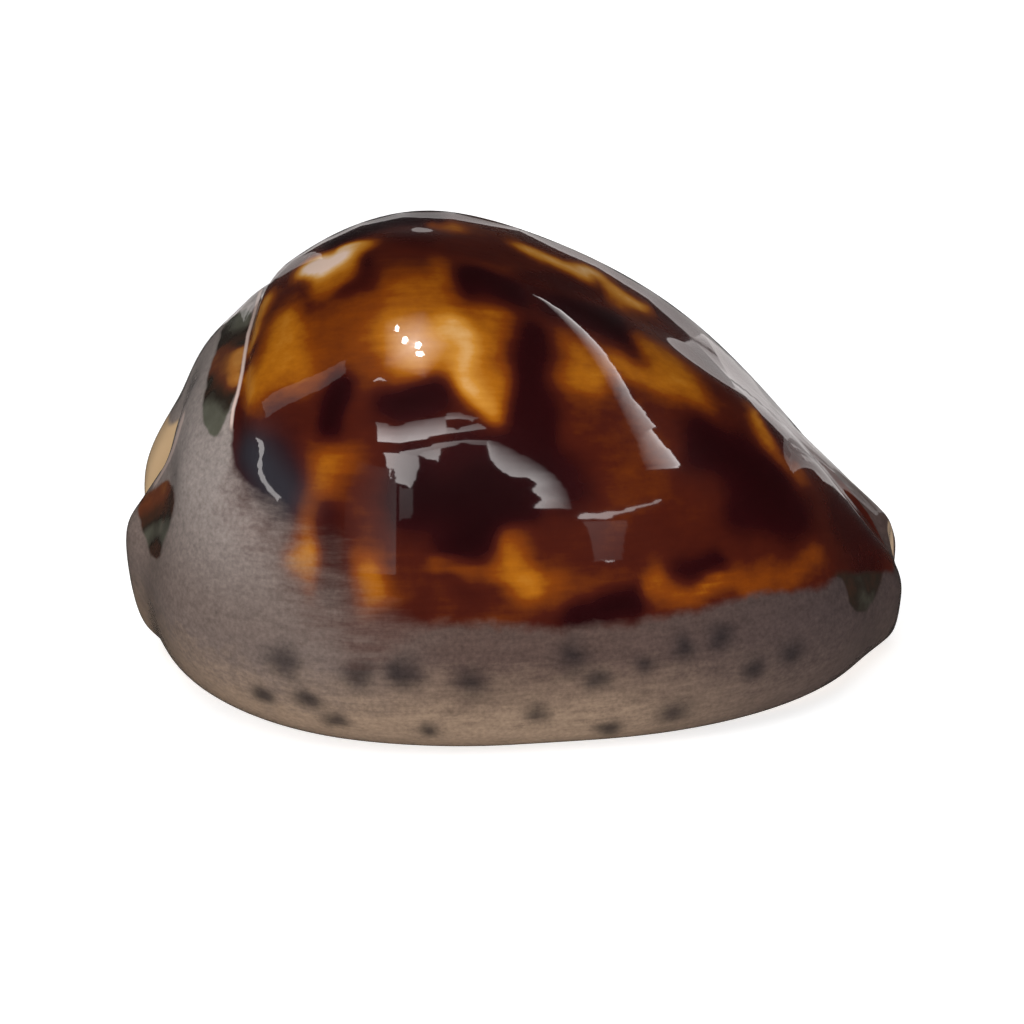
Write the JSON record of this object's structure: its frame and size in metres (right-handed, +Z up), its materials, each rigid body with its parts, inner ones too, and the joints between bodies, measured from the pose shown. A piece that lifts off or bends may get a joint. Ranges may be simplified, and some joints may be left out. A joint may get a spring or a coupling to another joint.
{
  "type": "cowrie shell",
  "caption": "Glossy domed cowrie shell, hollow inside, with a toothed slit along its flat underside and a short open canal at each end.",
  "frame": {"origin": "centre of the box around the shell, at the level of the surface it rests on", "axes": "+X to the front, narrow end; +Y to the inner-lip side; +Z up from the base to the back"},
  "size_m": [0.0724, 0.049, 0.0412],
  "materials": {
    "shell_glaze": "polished, mottled amber and dark brown back, grey margins, cream base"
  },
  "bodies": {
    "root": {"shell": "shell_glaze"}
  },
  "joints": []
}
